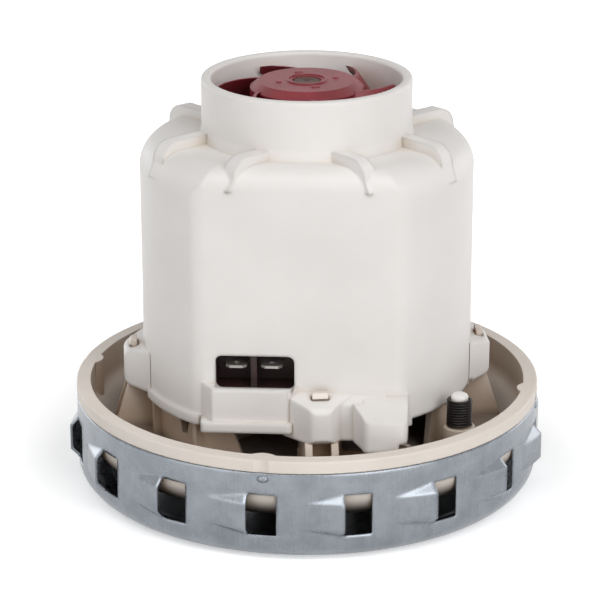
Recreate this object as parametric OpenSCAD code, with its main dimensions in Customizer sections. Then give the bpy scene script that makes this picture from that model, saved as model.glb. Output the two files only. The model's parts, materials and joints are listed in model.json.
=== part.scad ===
// Bypass vacuum cleaner motor with its fan.
// The shaft lies on Z, the shroud's bottom is the plane z = 0 and the flat front faces -Y.
// Azimuths are counted from the front towards +X.

/* [Fan shroud] */
// Outside diameter of the steel wall and of the rim above it
rim_d = 144; // [140:1:152]
// Thickness of the pressed sheet
sheet_t = 0.8; // [0.6:0.1:1]
// Height of the steel wall
shroud_h = 28; // [27:0.5:31]
// Outer radius of the bottom corner
corner_r = 7.5; // [5:0.25:7.5]
// Diameter of the air inlet
inlet_d = 38; // [32:1:39]
// Radius of the inlet's turned-in edge
inlet_edge_r = 3; // [2:0.25:3.5]
// Height of the inlet's lip
inlet_lip_h = 4.5; // [4:0.25:5.5]
// Number of louvres
louvre_n = 16; // [12:1:16]
// Azimuth of the first opening's flush edge
louvre_turn = -3.9; // [-10:0.1:10]
// Height of the louvres' lower edge
louvre_z = 8; // [8:0.25:9.5]
// Height of a louvre
louvre_h = 13.6; // [11:0.2:14.6]
// Length of the opening round the wall
louvre_gap = 8.5; // [6:0.25:9.5]
// Length of the raised scoop round the wall
louvre_len = 13; // [10:0.5:15]
// Rise of the scoop at its open end
louvre_rise = 2.6; // [1.5:0.1:3.2]
// Height of the scoop's sloping edges
louvre_slope = 2.8; // [2:0.1:4]

/* [Impeller] */
// Outside diameter of the impeller
impeller_d = 124; // [112:1:128]
// Diameter of the impeller's eye
eye_d = 45; // [44:0.5:50]
// Gap between the shroud's bottom and the impeller
impeller_gap = 2.4; // [1.8:0.1:3]
// Thickness of the impeller's plates and blades
plate_t = 0.8; // [0.6:0.1:1.2]
// Height of the blades
blade_h = 9; // [8:0.5:10]
// Number of blades
blade_n = 9; // [6:1:11]
// Radius of a blade's curve
blade_curve_r = 40; // [34:1:50]
// Thickness of the washer under the impeller
washer_t = 1.2; // [0.8:0.1:2]
// Diameter of that washer
washer_d = 20; // [17:0.5:24]
// Height of the nut
nut_h = 5; // [4:0.25:5.5]
// Width across the nut's flats
nut_af = 13; // [12:0.5:14]
// Outside diameter of the spacer above the impeller
spacer_d = 11; // [10.5:0.1:11.6]

/* [Lower frame] */
// Gap between the impeller and the frame's floor
roof_gap = 1.2; // [0.8:0.1:2]
// Thickness of the floor
floor_t = 2.5; // [2:0.1:3]
// Height of the rim above the steel
rim_h = 4; // [3:0.25:6]
// Thickness of the rim
rim_t = 4.35; // [3.5:0.05:5]
// Radius of the bowl under the rim
bowl_r = 9; // [7:0.25:9.5]
// Depth of the bowl's outer edge below the floor's underside
apron_h = 3; // [1:0.25:3.5]
// Radius between the trough's floor and the rim
trough_r = 6.5; // [4:0.25:8]
// Thickness of the ring wall
ring_t = 2.4; // [2:0.1:3]
// Height of the ring wall that goes inside the housing
ring_lap = 2.6; // [2:0.1:2.8]
// Width of the ring wall's front air opening at its top
front_vent_w = 23; // [18:0.5:25]
// Width of the ring wall's side air opening at its top
side_vent_w = 21; // [16:0.5:23]
// Width of the snap posts
post_w = 10; // [8:0.5:11]
// Distance that a post spreads towards its foot
post_flare = 5; // [2:0.5:7]
// Width of a snap tongue
tongue_w = 4.8; // [4:0.2:5.4]
// Thickness of a snap tongue
tongue_t = 1.8; // [1.4:0.1:2.2]
// Thickness of the fins on both sides of a snap post
fin_t = 2.2; // [1.6:0.1:3]
// Thickness of the two ridges on the ring wall's sides
ridge_t = 1.6; // [1:0.1:2.5]
// Radius of the rim's crimp lugs
lug_r = 5; // [4:0.25:6]
// Number of crimp lugs
lug_n = 4; // [3:1:6]
// Azimuth of the first crimp lug
lug_turn = -7.4; // [-15:0.1:15]
// Number of stiffening ribs on the floor
web_n = 8; // [6:1:12]

/* [Upper housing] */
// Diameter of the barrel
barrel_d = 101.8; // [100:0.1:104]
// Width of the barrel across its flats
barrel_flat = 82; // [80:0.5:86]
// Radius of the corners beside the flats
barrel_corner_r = 8; // [6.5:0.5:12]
// Wall thickness
wall_t = 3; // [2.4:0.1:3.4]
// Height of the housing's lower edge above the trough's floor
skirt_h = 13; // [12:0.25:13.5]
// Radius of the shoulder on the round sides
shoulder_r = 9; // [7:0.25:11]
// Radius of the shoulder on the flats
flat_shoulder_r = 6.5; // [5:0.25:7.5]
// Diameter of the air collar
collar_d = 64; // [62:0.5:66]
// Thickness of the collar
collar_t = 3; // [2.4:0.1:3.4]
// Height of the collar above the deck
collar_h = 18; // [16.5:0.25:22]
// Flare of the collar's foot, where the shoulder ribs meet it
collar_flare = 0.5; // [0.2:0.1:0.8]
// Rounding of the collar's top edges
collar_edge_r = 1; // [0.5:0.1:1.2]
// Thickness of a shoulder rib
rib_t = 4.4; // [3.5:0.1:6]
// Height of a shoulder rib above the deck
rib_h = 3; // [2.4:0.1:5.5]
// Distance between the two parallel ribs at a corner
rib_pitch = 26.4; // [25:0.2:31]
// Height of the notch in the right side's lower edge
notch_h = 2.2; // [1.2:0.1:2.4]

/* [Fixing ears] */
// Azimuth of the front ear
ear_turn = 8.3; // [5:0.1:12]
// Width of an ear at the wall
ear_w = 26; // [24:0.5:28]
// Width of the side ears' noses
nose_w = 12; // [11:0.25:13]
// Width of the front and back ears' noses
flat_nose_w = 9; // [8:0.25:11]
// Rounding of a nose's corners
nose_r = 3; // [2.2:0.1:3.4]
// Reach of an ear beyond the barrel's wall
ear_out = 6.2; // [5.8:0.1:7.5]
// Reach of the front and back ears beyond the flat
flat_ear_out = 9.8; // [8.5:0.1:11]
// Height of the side ears
ear_h = 12.5; // [11:0.25:14]
// Height of the front and back ears
flat_ear_h = 13; // [12:0.25:14]
// Height of the side ears' lower edge above the housing's
ear_rise = 1.4; // [0.3:0.1:2]
// Depth of the front and back ears' lower edge below the housing's
ear_drop = 2; // [1:0.1:2.5]
// Wall of the ears and of the front blocks
ear_wall = 2; // [1.6:0.1:2.2]

/* [Terminals] */
// Centre of the terminal window across the front
window_x = -13.2; // [-14:0.1:-12]
// Width of the window
window_w = 23.6; // [21:0.2:24]
// Height of the window
window_h = 11.1; // [10:0.1:11.6]
// Height of the window's sill above the housing's lower edge
sill_h = 11; // [10:0.1:11.6]
// Rounding of the window's corners
window_r = 2; // [1:0.1:3]
// Height of the terminal block, whose front wall hides the window's sill
block_h = 13.2; // [12:0.1:14]
// Reach of the terminal block beyond the flat
block_out = 5; // [4:0.25:6]
// Height of the lip along the block's foot
lip_h = 3; // [2:0.2:4]
// Reach of that lip beyond the block
lip_out = 1.4; // [0.8:0.1:2]
// Reach of the band along the barrel's foot
foot_out = 0.9; // [0.5:0.1:1.2]
// Width of the right block
hood_w = 13.2; // [11:0.2:14]
// Centre of the right block across the front
hood_x = 26; // [25.5:0.1:27]
// Reach of the right block beyond the flat
hood_out = 15; // [13:0.25:16]
// Height of the right block
hood_h = 12.2; // [11:0.1:12.6]
// Width of a push-on tab
tab_w = 6.3; // [4.8:0.1:6.3]
// Thickness of a push-on tab
tab_t = 0.8; // [0.5:0.1:1]
// Free length of a push-on tab
tab_len = 8; // [6.5:0.1:8.2]
// Distance between the two tabs
tab_pitch = 10.6; // [9:0.1:11]
// Height of the tabs above the sill
tab_rise = 6.5; // [5.5:0.1:7]

/* [Contact spring] */
// Distance of the spring from the shaft
spring_at_r = 58; // [57.2:0.1:59]
// Azimuth of the spring
spring_turn = 55.5; // [52:0.5:60]
// Outside diameter of the spring
spring_d = 7.9; // [7.4:0.1:8.4]
// Diameter of its wire
spring_wire = 0.5; // [0.4:0.05:0.55]
// Length of the spring
spring_h = 9.2; // [7.6:0.1:10]
// Number of turns
spring_turns = 7; // [4:1:7]
// Height of the boss under the spring above the trough's floor
boss_h = 11; // [8:0.1:11.5]
// Diameter of the peg inside the spring
peg_d = 5.2; // [4:0.1:5.4]
// Height of the peg above the spring
peg_over = 1.3; // [1:0.1:3]

/* [Motor] */
// Diameter of the shaft
shaft_d = 8; // [7.5:0.1:8.2]
// Height of the laminated stack
stack_h = 35; // [32:0.5:42]
// Diameter of the armature
armature_d = 44; // [42:0.2:44.6]
// Air gap between armature and stator
air_gap = 0.6; // [0.4:0.05:0.8]
// Number of armature slots
slot_n = 12; // [10:1:14]
// Diameter of the stator
stator_d = 88; // [87:0.5:90]
// Width of the stator across its flats
stator_flat = 73; // [71:0.5:74.5]
// Radial depth of the field coils
coil_depth = 8.2; // [6:0.1:8.6]
// Overhang of the field coils past the stack
coil_over = 4; // [3:0.1:4.5]
// Height of the lower armature end turns
low_turns_h = 8.5; // [8:0.25:12]
// Height of the upper armature end turns
top_turns_h = 5.5; // [5:0.25:8]
// Diameter of the commutator
commutator_d = 24; // [22:0.5:25]
// Height of the commutator
commutator_h = 16; // [15:0.25:18]
// Number of commutator bars
bar_n = 24; // [16:2:28]

/* [Brushes] */
// Width of a carbon brush round the commutator
brush_w = 6.3; // [5:0.1:7]
// Height of a carbon brush
brush_h = 9; // [7:0.1:9.5]
// Length of a carbon brush
brush_len = 17; // [14:0.5:18]
// Wall of the brass brush tube
tube_t = 0.8; // [0.6:0.1:1]
// Wall of the brush holder round its tube
holder_t = 2.2; // [1.8:0.1:2.6]
// Outside diameter of a brush spring
brush_spring_d = 5.4; // [4.6:0.1:5.6]
// Diameter of a brush spring's wire
brush_spring_wire = 0.6; // [0.4:0.05:0.7]
// Number of turns of a brush spring
brush_spring_turns = 8; // [5:1:9]

/* [Bearings] */
// Outside diameter of a bearing
bearing_d = 22; // [21.6:0.1:22.6]
// Width of a bearing
bearing_w = 7; // [6.8:0.1:8]
// Diameter of a ball
ball_d = 3.97; // [3.8:0.01:4.1]
// Number of balls
ball_n = 7; // [5:1:7]
// Thickness of the bearing rings at their grooves' sides
ring_wall = 2; // [1.8:0.05:2.1]
// Thickness of the rubber boot round the upper bearing
boot_t = 2; // [1.5:0.1:2.5]
// Wall of the bearing hubs
hub_t = 3; // [2.4:0.1:4]
// Thickness of the lower bearing's retainer
retainer_t = 1; // [0.8:0.1:1.5]

/* [Cooling fan] */
// Diameter of the fan's hub
fan_hub_d = 34.4; // [32:0.2:36]
// Diameter of the flat on top of the hub
fan_top_d = 29; // [26:0.2:30]
// Height of the fan
fan_h = 15.4; // [14:0.2:16]
// Number of fan blades
fan_blade_n = 6; // [5:1:7]
// Thickness of a fan blade
fan_blade_t = 1.3; // [1:0.1:1.6]
// Angle by which a blade's tip leads its root
fan_sweep = 38; // [20:1:45]
// Angle by which a blade's foot trails its top
fan_twist = 42; // [20:1:50]
// Azimuth of the first blade's tip
fan_turn = 42; // [30:1:60]
// Diameter of the recess over the shaft's end
fan_recess_d = 8.8; // [8.6:0.1:10]

/* [Fits] */
// Gap between pieces that are fitted to each other
fit_gap = 0.1; // [0.05:0.01:0.15]
// Gap between turning or sliding pieces
run_gap = 0.05; // [0.02:0.01:0.08]
// Gap round pressed pieces
press_gap = 0.02; // [0.01:0.01:0.03]
// Gap of the fan's blades to the collar
fan_gap = 1; // [0.8:0.1:1.6]
// Gap round a snap tongue
slot_gap = 0.3; // [0.2:0.05:0.4]

/* [Hidden] */
$fn = 96;

white_plastic = "#e6e2dc";
cream_plastic = "#ded3c4";
zinc_steel = "#8f959c";
red_plastic = "#8b2d34";
dark_red = "#4a1c1e";
bare_steel = "#a9abad";
copper = "#b06a3a";
carbon = "#2b2b2d";
brass = "#b99a55";

// Cutting tools reach this far past what they cut
over = 1;
// Rounding tools stand this far off the wall that they meet, so that the faces cross
blend = 0.05;

// Small sizes of the motor
commutator_gap = 6.5;
turns_gap = 1;
bearing_cap_t = 1.5;
fan_lift = 1.2;
riser_h = 3;
riser_out = 1.5;
pole_tip_t = 4.4;

// Levels, from the ground up
impeller_z = sheet_t + impeller_gap;
blade_z = impeller_z + plate_t;
back_plate_z = blade_z + blade_h;
roof_z = back_plate_z + plate_t + roof_gap;
floor_z = roof_z + floor_t;
low_bearing_z = floor_z + floor_t;
low_bearing_top = low_bearing_z + bearing_w;
retainer_top = low_bearing_top + retainer_t;
commutator_z = retainer_top + commutator_gap;
low_turns_z = commutator_z + commutator_h + turns_gap;
stack_z = low_turns_z + low_turns_h;
stack_top = stack_z + stack_h;
top_turns_top = stack_top + top_turns_h;
top_bearing_z = top_turns_top + turns_gap;
top_bearing_top = top_bearing_z + bearing_w;
deck_z = top_bearing_top + bearing_cap_t;
collar_top = deck_z + collar_h;
fan_z = deck_z + fan_lift;
fan_top = fan_z + fan_h;
rim_top = shroud_h + rim_h;
housing_z = floor_z + skirt_h;
ring_top = housing_z + ring_lap;
notch_top = housing_z + notch_h;
sill_z = housing_z + sill_h;
tab_z = sill_z + tab_rise;
brush_z = commutator_z + (commutator_h - riser_h) / 2;

// Radii
rim_r = rim_d / 2;
rim_in_r = rim_r - rim_t;
spigot_r = rim_r - sheet_t - fit_gap;
apron_t = 6.5;
apron_clear = 0.6;
apron_in = max(spigot_r - apron_t, impeller_d / 2 + apron_clear);
barrel_r = barrel_d / 2;
flat_y = barrel_flat / 2;
collar_r = collar_d / 2;
collar_in_r = collar_r - collar_t;
ring_inset = wall_t + slot_gap;
shaft_r = shaft_d / 2;
bearing_r = bearing_d / 2;
ball_pitch_r = (shaft_r + bearing_r) / 2;
commutator_r = commutator_d / 2;
bore_r = armature_d / 2 + air_gap;
coil_in_r = bore_r + pole_tip_t;
coil_out_r = coil_in_r + coil_depth;
boot_r = bearing_r + boot_t;
hub_r = boot_r + hub_t;

// Azimuths of the stator's pads and of its two screws
pad_turns = [45, 135, -135, -45];
screw_turns = [45, -135];
screw_r = 2;
screw_head_r = 3.5;
screw_head_h = 2.8;
screw_grip = 9;
screw_clear = 0.9;
screw_at_r = coil_out_r + screw_head_r + screw_clear;
pad_turn_w = 9;
pad_clear = 1.6;

// Brushes and their tubes, measured outwards from the shaft
brush_turns = [-90, 90];
brush_in = commutator_r + run_gap;
brush_out = brush_in + brush_len;
tube_in = commutator_r + riser_out + fit_gap;
tube_clear = 3.9;
holder_back = 6;
tube_end = barrel_r - wall_t - tube_clear;
tube_w = brush_w + 2 * fit_gap + 2 * tube_t;
tube_h = brush_h + 2 * fit_gap + 2 * tube_t;
holder_in = tube_in + holder_back;
holder_w = tube_w + 2 * holder_t;
holder_h = tube_h + 2 * holder_t;
rail_t = 2.4;
rail_len = 5;

// Where the flat lies along the front ear's azimuth
flat_ear_wall = flat_y / cos(ear_turn);
front_foot = housing_z - ear_drop;
// Fall of the ears' tops for each millimetre outwards
front_fall = 0.22;
side_fall = 0.3;
// Ears: azimuth, distance of the wall, reach, lower edge, height, fall and width of the nose
EARS = [
    [ear_turn, flat_ear_wall, flat_ear_out, front_foot, flat_ear_h, front_fall, flat_nose_w],
    [ear_turn + 180, flat_ear_wall, flat_ear_out, front_foot, flat_ear_h, front_fall, flat_nose_w],
    [ear_turn - 90, barrel_r, ear_out, housing_z + ear_rise, ear_h, side_fall, nose_w],
    [ear_turn + 90, barrel_r, ear_out, housing_z + ear_rise, ear_h, side_fall, nose_w]];
ear_sink = 1.5;
ear_gap = 1.2;
ear_edge_r = 2.5;
ear_chamfer = 1.4;
// Share of a wall's thickness by which a flank's inner foot is drawn in
flank_in = 1.5;
tongue_in = 2;
hook_out = 0.8;
hook_h = 1.6;

// Ribs of the shoulder and the spider in the collar
rib_end_r = 6;
rib_off = rib_pitch / 2;
rib_in = (sqrt(pow(collar_r, 2) - pow(rib_off + rib_t / 2, 2))
    + sqrt(pow(collar_in_r, 2) - pow(rib_off - rib_t / 2, 2))) / 2;
flare_over = 0.4;
rib_back = 1.6;
rib_lean = 2;
arm_w = 5;
arm_h = 7;

// Blocks on the front
block_lean = 3.4;
wing_drop = 0.4;
block_edge = 0.7;
block_short = 1.8;
hood_splay = 3.2;
foot_from = -68;
foot_to = -36;
saddle_out = 5.5;
hood_edge_r = 2.5;
hood_step = 2.4;
hood_step_h = 3;
block_left = window_x - window_w / 2 - block_edge;
block_right = window_x + window_w / 2 - block_short;
block_y = flat_y + block_out;
front_top = front_foot + flat_ear_h;
notch_from = 41.5;
notch_to = ear_turn + 90 - asin((ear_w / 2 - ear_wall) / barrel_r);

// Air openings in the ring wall: azimuth, left and right at the foot, left and right at the top, foot level
VENTS = [
    [0, -front_vent_w * 0.74, 0, -front_vent_w, 0, floor_z + 1],
    [0, 12.5, 19, 12.5, 21, floor_z + 4],
    [-48, -1.2, 1.2, -3.6, 3.6, floor_z + 6],
    [44, -side_vent_w / 2 + 2, side_vent_w / 2 - 2, -side_vent_w / 2, side_vent_w / 2, floor_z + 1]];
RIDGES = [-39.3, -68];
ridge_out = 2.5;
post_sink = 1.5;
web_t = 1.6;
web_h = 4;
rim_edge_r = 0.6;
lug_in = 1.6;
lug_cut = 0.6;
lug_back = 2;

// Spring boss, peg and pin
boss_edge = 0.8;
pin_step = 0.8;
boss_r = spring_d / 2 + boss_edge;
peg_r = peg_d / 2;
pin_r = peg_r - pin_step;
pin_len = 5;
boss_top = floor_z + boss_h;

// Scoop of a louvre: a circle through the flush wall and the raised open end, about an axis off the shaft
gap_turn = louvre_gap / rim_r * 180 / PI;
scoop_turn = louvre_len / rim_r * 180 / PI;
scoop_top_r = rim_r + louvre_rise;
scoop_off = (pow(scoop_top_r, 2) - pow(rim_r, 2)) / (2 * scoop_top_r * sin(scoop_turn));
scoop_axis_r = norm([rim_r, scoop_off]);
scoop_start = -atan2(scoop_off, rim_r);
scoop_angle = atan2(scoop_top_r * sin(scoop_turn) - scoop_off, scoop_top_r * cos(scoop_turn)) - scoop_start;
scoop_from = louvre_turn - gap_turn - scoop_turn;
// Share of its height by which a scoop's slope goes on into the wall
scoop_root = 0.25;

// Impeller, nut and shaft
impeller_r = impeller_d / 2;
eye_r = eye_d / 2;
neck_h = 1.2;
nut_z = back_plate_z - washer_t - nut_h;
hub_gap = 0.6;
shaft_edge = 0.5;
shaft_z = nut_z - 2 * shaft_edge;
shaft_short = 3.5;
shaft_top = fan_top - shaft_short;

// Stator slots and coils, in degrees either side of their middle
slot_half = 36;
tip_half = 9;
coil_clear = 2;

// Armature and commutator
slot_in = 12.5;
slot_out = 20;
slot_w = 4;
slot_mouth = 1.6;
insulation_t = 2.5;
turns_in = shaft_r + insulation_t;
turns_edge_r = 2.4;
bar_t = 3.5;
bar_gap = 0.6;

// Bearing cages
cage_t = 1.4;
cage_h = 5.2;

// Coil springs: points a turn and sides of the wire
coil_steps = 8;
coil_sides = 6;

// Terminal tabs and their carrier
carrier_t = 1.8;
tab_shift = 0.5;
carrier_y = flat_y - wall_t - fit_gap - tab_len;
tab_x = window_x - tab_shift;
tab_tip_y = carrier_y + tab_len;
tab_tail = 4;
tab_edge = 1.2;
tab_hole_at = 3;
tab_hole_r = 0.9;

// Cooling fan
fan_hub_r = fan_hub_d / 2;
fan_sink = 1.2;
fan_root_r = fan_hub_r - fan_sink;
fan_tip_r = collar_in_r - fan_gap;
fan_edge_h = 2;
fan_wall = 1.6;
fan_top_t = 5;
fan_sleeve_r = 7.5;
fan_drop = 1.4;
emboss_r = 6.3;
emboss_t = 0.8;
emboss_h = 0.4;
blade_steps = 8;

// Turns a shape that faces the front to an azimuth
module at_az(a) {
    rotate([0, 0, a]) children();
}

// Thick plate across the front, from an outline of distance outwards and height
module radial_plate(w) {
    rotate([90, 0, -90]) linear_extrude(w, center = true) children();
}

// Plate along the front, from an outline of width and height
module front_plate(y_in, y_out) {
    translate([0, -y_in, 0]) rotate([90, 0, 0]) linear_extrude(y_out - y_in) children();
}

// Shape that lies on the shaft, raised to a level
module raised(z, h) {
    translate([0, 0, z]) linear_extrude(h) children();
}

module round_rect(x0, y0, x1, y1, r) {
    translate([x0 + r, y0]) square([x1 - x0 - 2 * r, y1 - y0]);
    translate([x0, y0 + r]) square([x1 - x0, y1 - y0 - 2 * r]);
    for (x = [x0 + r, x1 - r], y = [y0 + r, y1 - r]) translate([x, y]) circle(r);
}

module washer_2d(r_out, r_in) {
    difference() {
        circle(r_out);
        circle(r_in);
    }
}

module sleeve(z, h, r_out, r_in) {
    raised(z, h) washer_2d(r_out, r_in);
}

// Sector of a ring, from one azimuth to another
module ring_sector(a0, a1, r_in, r_out, z0, z1) {
    rotate([0, 0, a0 - 90]) rotate_extrude(angle = a1 - a0)
        translate([r_in, z0]) square([r_out - r_in, z1 - z0]);
}

// The barrel's outline: a circle with two flats, and an arc at each corner
module barrel_2d(inset) {
    r = barrel_r - inset;
    f = flat_y - inset;
    c = max(barrel_corner_r - inset, 0.5);
    corner_x = sqrt(pow(r - c, 2) - pow(f - c, 2));
    touch_y = r * (f - c) / (r - c);
    intersection() {
        circle(r);
        square([2 * corner_x, 2 * f], center = true);
    }
    intersection() {
        circle(r);
        square([2 * r + over, 2 * touch_y], center = true);
    }
    for (x = [-corner_x, corner_x], y = [c - f, f - c]) translate([x, y]) circle(c);
}

// Half outline with a rounded upper edge
module shoulder_2d(r, z0, z1, edge) {
    translate([0, z0]) square([r - edge, z1 - z0]);
    translate([0, z0]) square([r, z1 - z0 - edge]);
    translate([r - edge, z1 - edge]) intersection() {
        circle(edge);
        square(edge + over);
    }
}

// The barrel with its rounded shoulder, drawn in by the inset
module barrel_solid(inset, z0) {
    top = deck_z - inset;
    edge = flat_shoulder_r - inset;
    flat_r = flat_y - inset + blend;
    intersection() {
        raised(z0, top - z0 + over) barrel_2d(inset);
        rotate_extrude() shoulder_2d(barrel_r - inset + blend, z0 - over, top, shoulder_r - inset);
        rotate([90, 0, 90]) linear_extrude(barrel_d + over, center = true) {
            shoulder_2d(flat_r, z0 - over, top + blend, edge);
            mirror([1, 0]) shoulder_2d(flat_r, z0 - over, top + blend, edge);
        }
    }
}

// Point where a line from p touches the circle of radius r about c, on the given side
function touch(p, c, r, side) = let (d = p - c, a = atan2(d[1], d[0]) + side * acos(r / norm(d)))
    c + r * [cos(a), sin(a)];

// Plan of an ear: a blunt nose with round corners, and two flanks that run out into the wall
module ear_plan(e, inset) {
    r = nose_r - inset;
    nose_y = -e[1] - e[2] + nose_r;
    left_c = [nose_r - e[6] / 2, nose_y];
    right_c = [e[6] / 2 - nose_r, nose_y];
    left = [flank_in * inset - ear_w / 2, ear_sink - e[1]];
    right = [ear_w / 2 - flank_in * inset, ear_sink - e[1]];
    polygon([
        left, touch(left, left_c, r, 1), left_c, left_c - [0, r],
        right_c - [0, r], right_c, touch(right, right_c, r, -1), right]);
    for (c = [left_c, right_c]) translate(c) circle(r);
}

// Section of an ear: a top that falls outwards to a round edge, and a chamfer at the foot
module ear_section(e) {
    wall_r = e[1] - ear_sink - over;
    end_r = e[1] + e[2] + blend;
    top = e[3] + e[4];
    arc_r = end_r - ear_edge_r;
    arc_z = top - e[5] * (e[2] - ear_edge_r) - ear_edge_r;
    polygon([
        [wall_r, e[3]],
        [end_r - ear_chamfer, e[3]],
        [end_r, e[3] + ear_chamfer],
        [end_r, arc_z],
        [arc_r, arc_z],
        [arc_r, arc_z + ear_edge_r],
        [wall_r, top + e[5] * (ear_sink + over)]]);
    translate([arc_r, arc_z]) circle(ear_edge_r);
}

// Ear that stands over a snap post
module ear_body(e) {
    intersection() {
        radial_plate(ear_w + over) ear_section(e);
        raised(e[3] - over, e[4] + 2 * over) ear_plan(e, 0);
    }
}

// Room in an ear for the post's tongue, with the slot in its top
module ear_hollow(e) {
    raised(e[3] - over, e[4] - e[5] * e[2] - ear_wall + over) intersection() {
        ear_plan(e, ear_wall);
        translate([-ear_w / 2, -e[1] - e[2]]) square([ear_w, e[2] - ear_gap]);
    }
    radial_plate(tongue_w + 2 * slot_gap) translate([e[1] + tongue_in - slot_gap, e[3]])
        square([tongue_t + 2 * slot_gap, e[4] + over]);
}

// Post of the lower frame with the tongue that snaps over its ear
module snap_post(e) {
    out_r = e[1] + e[2] - ear_wall / 2;
    in_r = e[1] + tongue_in;
    mid_r = in_r + tongue_t;
    foot_r = e[1] - wall_t - post_sink;
    seat = min(housing_z, e[3]) - slot_gap;
    hook_z = e[3] + e[4] - e[5] * tongue_in + fit_gap;
    for (side = [-1, 1]) translate([side * (post_w - fin_t) / 2, 0, 0]) radial_plate(fin_t) polygon([
        [foot_r, floor_z - over],
        [out_r + post_flare, floor_z - over],
        [out_r, e[3]],
        [in_r - 2 * slot_gap, e[3]],
        [in_r - 2 * slot_gap, seat],
        [foot_r, seat]]);
    radial_plate(post_w - fin_t) polygon([
        [foot_r, floor_z - over],
        [mid_r, floor_z - over],
        [mid_r, e[3]],
        [in_r - 2 * slot_gap, e[3]],
        [in_r - 2 * slot_gap, seat],
        [foot_r, seat]]);
    radial_plate(tongue_w) polygon([
        [in_r, e[3] - over],
        [mid_r, e[3] - over],
        [mid_r, hook_z],
        [mid_r + hook_out, hook_z],
        [mid_r, hook_z + hook_h],
        [in_r, hook_z + hook_h]]);
}

// Shoulder rib beside a corner, from the collar to a rounded end that drops down the shoulder
module shoulder_rib(on_flat) {
    top = deck_z + rib_h;
    end_r = on_flat ? (flat_y - rib_back) * sqrt(2) - rib_off
        : sqrt(pow(barrel_r - rib_back, 2) - pow(rib_off, 2));
    foot_z = on_flat ? deck_z - flat_shoulder_r : deck_z - shoulder_r + rib_back;
    radial_plate(rib_t) {
        polygon([
            [rib_in, deck_z - over],
            [rib_in, top],
            [end_r - rib_end_r, top],
            [end_r, top - rib_end_r],
            [end_r + rib_lean, foot_z],
            [end_r - rib_end_r, foot_z]]);
        translate([end_r - rib_end_r, top - rib_end_r]) circle(rib_end_r);
    }
}

// Everything under a top that falls outwards from the flat, out to the right block's front
module under_front_top(drop) {
    in_y = 2 * wall_t + over - flat_y;
    out_y = -flat_y - hood_out - over;
    rotate([90, 0, 90]) linear_extrude(barrel_d, center = true) polygon([
        [in_y, front_foot],
        [out_y, front_foot],
        [out_y, front_top - drop - front_fall * (hood_out + over)],
        [in_y, front_top - drop + front_fall * (2 * wall_t + over)]]);
}

// Outline of the terminal block
module block_2d(inset) {
    polygon([
        [block_left - block_lean + inset, over - flat_y],
        [block_left - block_lean + inset, -flat_y],
        [block_left + inset, inset - block_y],
        [block_right - inset, inset - block_y],
        [block_right + block_lean - inset, over - flat_y]]);
}

// Outline of the saddle between the front ear's middle and the right block
module saddle_2d(inset) {
    left = flat_y * tan(ear_turn);
    polygon([
        [left, over - flat_y],
        [left, inset - flat_y - saddle_out],
        [hood_x, inset - flat_y - saddle_out],
        [hood_x, over - flat_y]]);
}

// Outline of the right block, whose left side runs back to the saddle
module hood_2d(inset) {
    left = hood_x - hood_w / 2;
    round_rect(left + inset, inset - flat_y - hood_out, left + hood_w - inset, 2 * wall_t - flat_y,
        hood_edge_r - inset / 2);
    polygon([
        [left - hood_splay + inset, -flat_y - saddle_out],
        [left + inset, hood_edge_r - flat_y - hood_out],
        [hood_x, hood_edge_r - flat_y - hood_out],
        [hood_x, -flat_y - saddle_out]]);
}

// Terminal block, foot lip, saddle and right block
module front_blocks() {
    raised(housing_z, block_h) block_2d(0);
    raised(housing_z, lip_h) round_rect(block_left - block_lean, -block_y - lip_out, block_right + lip_out,
        over - flat_y, lip_out);
    intersection() {
        raised(front_foot - over, flat_ear_h + 2 * over) saddle_2d(0);
        under_front_top(wing_drop);
    }
    intersection() {
        raised(front_foot - over, hood_h + over) hood_2d(0);
        under_front_top(0);
    }
    raised(housing_z, lip_h) intersection() {
        barrel_2d(-foot_out);
        polygon([[0, 0], [rim_d * sin(foot_from), -rim_d * cos(foot_from)],
            [rim_d * sin(foot_to), -rim_d * cos(foot_to)]]);
    }
}

// Room inside those blocks, and the step in the right block's lower corner
module front_hollows() {
    z0 = front_foot - over;
    keep_y = -flat_y - hood_out;
    raised(z0, sill_z - ear_wall - z0) intersection() {
        block_2d(ear_wall);
        translate([-barrel_r, keep_y]) square([barrel_d, hood_out]);
    }
    raised(z0, flat_ear_h - front_fall * saddle_out - wing_drop - ear_wall + over) intersection() {
        saddle_2d(ear_wall);
        translate([-barrel_r, keep_y]) square([barrel_d, hood_out]);
    }
    raised(z0, flat_ear_h - front_fall * hood_out - ear_wall + over) intersection() {
        hood_2d(ear_wall);
        translate([-barrel_r, keep_y])
            square([barrel_r + hood_x + hood_w / 2 - hood_step - ear_wall, hood_out]);
    }
    translate([hood_x + hood_w / 2 - hood_step, keep_y - over, z0])
        cube([hood_step + over, hood_out - wall_t, hood_step_h + over]);
}

// Pads that centre the stator, with the columns that it is screwed to
module stator_seats() {
    for (a = pad_turns) intersection() {
        union() {
            ring_sector(a - pad_turn_w / 2, a + pad_turn_w / 2, stator_d / 2 + fit_gap,
                barrel_r, stack_z, stack_top + over);
            ring_sector(a - pad_turn_w / 2, a + pad_turn_w / 2, coil_out_r + pad_clear,
                barrel_r, stack_top, deck_z);
        }
        barrel_solid(wall_t / 2, housing_z);
    }
}

// Hub of the upper bearing, held in the collar by four arms
module bearing_spider() {
    sleeve(top_bearing_z, deck_z - top_bearing_z, hub_r, boot_r + press_gap);
    sleeve(top_bearing_top, bearing_cap_t, boot_r + over, bearing_r - ring_wall);
    for (a = [45 : 90 : 315]) at_az(a) radial_plate(arm_w)
        translate([hub_r - over, deck_z - arm_h]) square([collar_in_r - hub_r + 2 * over, arm_h]);
}

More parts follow.
